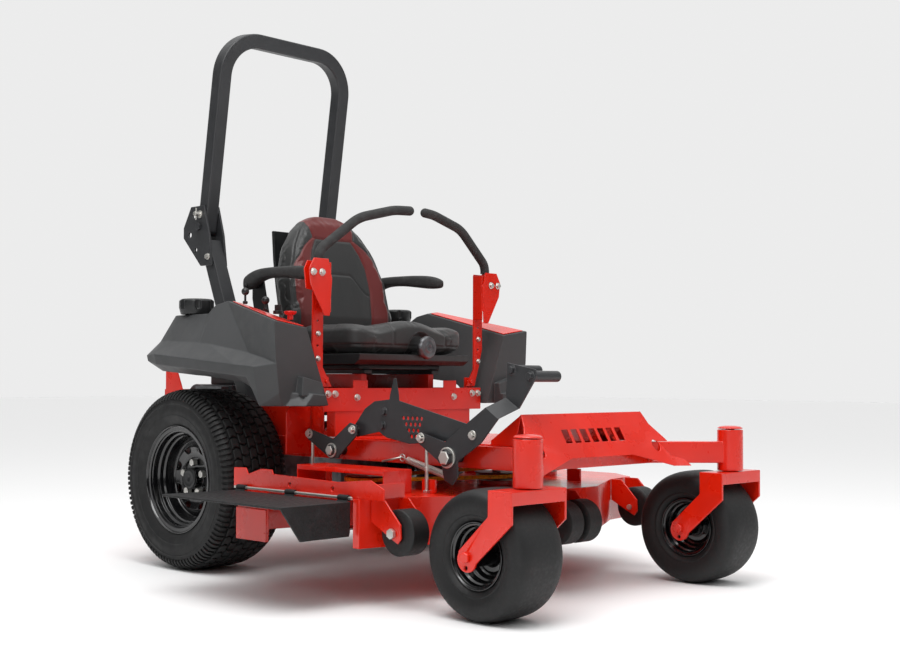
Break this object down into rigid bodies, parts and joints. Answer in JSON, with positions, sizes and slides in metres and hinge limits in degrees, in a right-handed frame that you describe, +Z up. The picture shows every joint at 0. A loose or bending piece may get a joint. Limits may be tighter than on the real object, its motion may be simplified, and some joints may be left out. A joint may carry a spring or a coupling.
{
  "type": "zero turn mower",
  "caption": "Ride-on zero turn mower with a mid-mounted side-discharge deck, lap-bar levers, padded seat and folding roll-over bar.",
  "frame": {"origin": "centre of the footprint, on the ground", "axes": "+Z up, +Y towards the rear, +X to the operator's left"},
  "size_m": [1.54, 1.9236, 1.7937],
  "materials": {
    "red_paint": "gloss",
    "charcoal_paint": "satin",
    "tank_plastic": "moulded grain",
    "tyre_rubber": "matt",
    "black_rim_paint": "gloss",
    "zinc_plate": "zinc plated",
    "cast_metal": "cast",
    "engine_plastic": "moulded",
    "seat_vinyl": "grained",
    "black_plastic": "satin",
    "red_plastic": "gloss",
    "grip_foam": "matt",
    "deflector_black": "textured",
    "blade_steel": "ground",
    "roller_rubber": "matt"
  },
  "bodies": {
    "chassis": {"frame_rails": "red_paint", "frame_crossmembers": "red_paint", "frame_hardware": "zinc_plate", "floor_pan": "red_paint", "front_shield": "red_paint", "seat_riser": "red_paint", "rops_uprights": "charcoal_paint", "engine_block": "cast_metal", "engine_shroud": "engine_plastic", "transaxles": "cast_metal", "fender_tank_left": "tank_plastic", "fender_tank_right": "tank_plastic", "side_consoles": "red_paint", "lift_spring": "zinc_plate"},
    "rear_wheel_left": {"rear_tyre_left": "tyre_rubber", "rear_rim_left": "black_rim_paint", "rear_hub_left": "zinc_plate"},
    "caster_left": {"caster_fork_left": "red_paint"},
    "front_wheel_left": {"front_tyre_left": "tyre_rubber", "front_rim_left": "black_rim_paint"},
    "rops_pin_left": {"rops_lock_pin_left": "zinc_plate"},
    "lever_hub_left": {"lever_base_left": "red_paint"},
    "lever_left": {"lever_post_left": "red_paint", "lever_grip_left": "grip_foam"},
    "armrest_arm_left": {"armrest_left": "black_plastic"},
    "tank_cap_left": {"fuel_cap_left": "black_plastic"},
    "roller_left": {"deck_roller_left": "roller_rubber"},
    "spindle_left": {"blade_spindle_left": "blade_steel"},
    "rear_wheel_right": {"rear_tyre_right": "tyre_rubber", "rear_rim_right": "black_rim_paint", "rear_hub_right": "zinc_plate"},
    "caster_right": {"caster_fork_right": "red_paint"},
    "front_wheel_right": {"front_tyre_right": "tyre_rubber", "front_rim_right": "black_rim_paint"},
    "rops_pin_right": {"rops_lock_pin_right": "zinc_plate"},
    "lever_hub_right": {"lever_base_right": "red_paint"},
    "lever_right": {"lever_post_right": "red_paint", "lever_grip_right": "grip_foam"},
    "armrest_arm_right": {"armrest_right": "black_plastic"},
    "tank_cap_right": {"fuel_cap_right": "black_plastic"},
    "roller_right": {"deck_roller_right": "roller_rubber"},
    "spindle_right": {"blade_spindle_right": "blade_steel"},
    "spindle_centre": {"blade_spindle_centre": "blade_steel"},
    "roller_centre": {"deck_roller_centre": "roller_rubber"},
    "rops_bar": {"rops_hoop": "charcoal_paint"},
    "seat": {"seat_base": "black_plastic", "seat_cushion": "seat_vinyl", "seat_backrest": "seat_vinyl"},
    "seat_knob": {"weight_knob": "black_plastic"},
    "throttle": {"throttle_lever": "black_plastic"},
    "choke": {"choke_lever": "black_plastic"},
    "blade_button": {"blade_switch": "red_plastic"},
    "key": {"ignition_key": "black_plastic"},
    "deck": {"deck_shell": "red_paint", "deck_hardware": "zinc_plate", "deck_belt": "roller_rubber"},
    "deflector_plate": {"deflector": "deflector_black"},
    "pedal": {"lift_pedal": "charcoal_paint"},
    "link": {"height_plate": "charcoal_paint"},
    "crank_rear": {"rear_crank": "charcoal_paint"}
  },
  "joints": [
    {"name": "rear_wheel_left_spin", "type": "hinge", "parent": "chassis", "child": "rear_wheel_left", "pos_m": [0.5285, 0.4468, 0.2835], "axis": [1, 0, 0], "continuous": true},
    {"name": "caster_left_swivel", "type": "hinge", "parent": "chassis", "child": "caster_left", "pos_m": [0.542, -0.9032, 0.33], "axis": [0, 0, 1], "continuous": true},
    {"name": "front_wheel_left_spin", "type": "hinge", "parent": "caster_left", "child": "front_wheel_left", "pos_m": [0.542, -0.7962, 0.1656], "axis": [1, 0, 0], "continuous": true},
    {"name": "rear_wheel_right_spin", "type": "hinge", "parent": "chassis", "child": "rear_wheel_right", "pos_m": [-0.3685, 0.4468, 0.2835], "axis": [1, 0, 0], "continuous": true},
    {"name": "caster_right_swivel", "type": "hinge", "parent": "chassis", "child": "caster_right", "pos_m": [-0.382, -0.9032, 0.33], "axis": [0, 0, 1], "continuous": true},
    {"name": "front_wheel_right_spin", "type": "hinge", "parent": "caster_right", "child": "front_wheel_right", "pos_m": [-0.382, -0.7962, 0.1656], "axis": [1, 0, 0], "continuous": true},
    {"name": "deck_height", "type": "slide", "parent": "chassis", "child": "deck", "axis": [0, 0, 1], "range_m": [-0.1, 0]},
    {"name": "pedal_pivot", "type": "hinge", "parent": "chassis", "child": "pedal", "pos_m": [0.08, -0.5242, 0.388], "axis": [1, 0, 0], "range_deg": [-52.3, 0], "deforming": ["lift_spring"]},
    {"name": "rear_crank_pivot", "type": "hinge", "parent": "chassis", "child": "crank_rear", "pos_m": [0.08, -0.0482, 0.388], "axis": [1, 0, 0], "range_deg": [-52.3, 0]},
    {"name": "height_plate_pivot", "type": "hinge", "parent": "pedal", "child": "link", "pos_m": [-0.25, -0.6162, 0.452], "axis": [1, 0, 0], "range_deg": [0, 52.3]},
    {"name": "deflector_hinge", "type": "hinge", "parent": "deck", "child": "deflector_plate", "pos_m": [-0.528, -0.1732, 0.287], "axis": [0, 1, 0], "range_deg": [0, 95]},
    {"name": "spindle_centre_spin", "type": "hinge", "parent": "deck", "child": "spindle_centre", "pos_m": [0.12, -0.3582, 0.2], "axis": [0, 0, 1], "continuous": true},
    {"name": "spindle_left_spin", "type": "hinge", "parent": "deck", "child": "spindle_left", "pos_m": [0.505, -0.2082, 0.2], "axis": [0, 0, 1], "continuous": true},
    {"name": "spindle_right_spin", "type": "hinge", "parent": "deck", "child": "spindle_right", "pos_m": [-0.265, -0.2082, 0.2], "axis": [0, 0, 1], "continuous": true},
    {"name": "roller_left_spin", "type": "hinge", "parent": "deck", "child": "roller_left", "pos_m": [0.6, -0.5362, 0.201], "axis": [1, 0, 0], "continuous": true},
    {"name": "roller_right_spin", "type": "hinge", "parent": "deck", "child": "roller_right", "pos_m": [-0.44, -0.5362, 0.201], "axis": [1, 0, 0], "continuous": true},
    {"name": "roller_centre_spin", "type": "hinge", "parent": "deck", "child": "roller_centre", "pos_m": [0.08, -0.6712, 0.201], "axis": [1, 0, 0], "continuous": true},
    {"name": "lever_left_drive", "type": "hinge", "parent": "chassis", "child": "lever_hub_left", "pos_m": [0.398, 0.0168, 0.545], "axis": [1, 0, 0], "range_deg": [-12, 15]},
    {"name": "lever_left_swing", "type": "hinge", "parent": "lever_hub_left", "child": "lever_left", "pos_m": [0.402, 0.0168, 0.592], "axis": [0, 1, 0], "range_deg": [0, 12]},
    {"name": "lever_right_drive", "type": "hinge", "parent": "chassis", "child": "lever_hub_right", "pos_m": [-0.238, 0.0168, 0.545], "axis": [1, 0, 0], "range_deg": [-12, 15]},
    {"name": "lever_right_swing", "type": "hinge", "parent": "lever_hub_right", "child": "lever_right", "pos_m": [-0.242, 0.0168, 0.592], "axis": [0, 1, 0], "range_deg": [-12, 0]},
    {"name": "seat_slide", "type": "slide", "parent": "chassis", "child": "seat", "axis": [0, 1, 0], "range_m": [-0.06, 0.04]},
    {"name": "armrest_left_pivot", "type": "hinge", "parent": "seat", "child": "armrest_arm_left", "pos_m": [0.352, 0.4468, 0.904], "axis": [1, 0, 0], "range_deg": [-95, 0]},
    {"name": "armrest_right_pivot", "type": "hinge", "parent": "seat", "child": "armrest_arm_right", "pos_m": [-0.192, 0.4468, 0.904], "axis": [1, 0, 0], "range_deg": [-95, 0]},
    {"name": "weight_knob_turn", "type": "hinge", "parent": "seat", "child": "seat_knob", "pos_m": [0.11, -0.0712, 0.7], "axis": [0, 1, 0], "continuous": true},
    {"name": "rops_fold", "type": "hinge", "parent": "chassis", "child": "rops_bar", "pos_m": [0.08, 0.6968, 1.118], "axis": [1, 0, 0], "range_deg": [-110, 0]},
    {"name": "rops_pin_left_pull", "type": "slide", "parent": "chassis", "child": "rops_pin_left", "axis": [1, 0, 0], "range_m": [0, 0.04]},
    {"name": "fuel_cap_left_lift", "type": "slide", "parent": "chassis", "child": "tank_cap_left", "axis": [0, 0, 1], "range_m": [0, 0.06]},
    {"name": "rops_pin_right_pull", "type": "slide", "parent": "chassis", "child": "rops_pin_right", "axis": [-1, 0, 0], "range_m": [0, 0.04]},
    {"name": "fuel_cap_right_lift", "type": "slide", "parent": "chassis", "child": "tank_cap_right", "axis": [0, 0, 1], "range_m": [0, 0.06]},
    {"name": "throttle_pivot", "type": "hinge", "parent": "chassis", "child": "throttle", "pos_m": [-0.372, 0.2418, 0.8346], "axis": [1, 0, 0], "range_deg": [-20, 20]},
    {"name": "choke_pivot", "type": "hinge", "parent": "chassis", "child": "choke", "pos_m": [-0.366, 0.1488, 0.8101], "axis": [1, 0, 0], "range_deg": [-20, 20]},
    {"name": "blade_switch_pull", "type": "slide", "parent": "chassis", "child": "blade_button", "axis": [0, 0, 1], "range_m": [0, 0.012]},
    {"name": "ignition_key_turn", "type": "hinge", "parent": "chassis", "child": "key", "pos_m": [-0.375, 0.0788, 0.8], "axis": [0, 0, 1], "range_deg": [0, 90]}
  ],
  "couplings": [
    {"joint": "pedal_pivot", "follows": "deck_height", "rad_per_m": 9.11},
    {"joint": "rear_crank_pivot", "follows": "deck_height", "rad_per_m": 9.11},
    {"joint": "height_plate_pivot", "follows": "deck_height", "rad_per_m": -9.11},
    {"joint": "spindle_left_spin", "follows": "spindle_centre_spin", "ratio": 1},
    {"joint": "spindle_right_spin", "follows": "spindle_centre_spin", "ratio": 1}
  ]
}
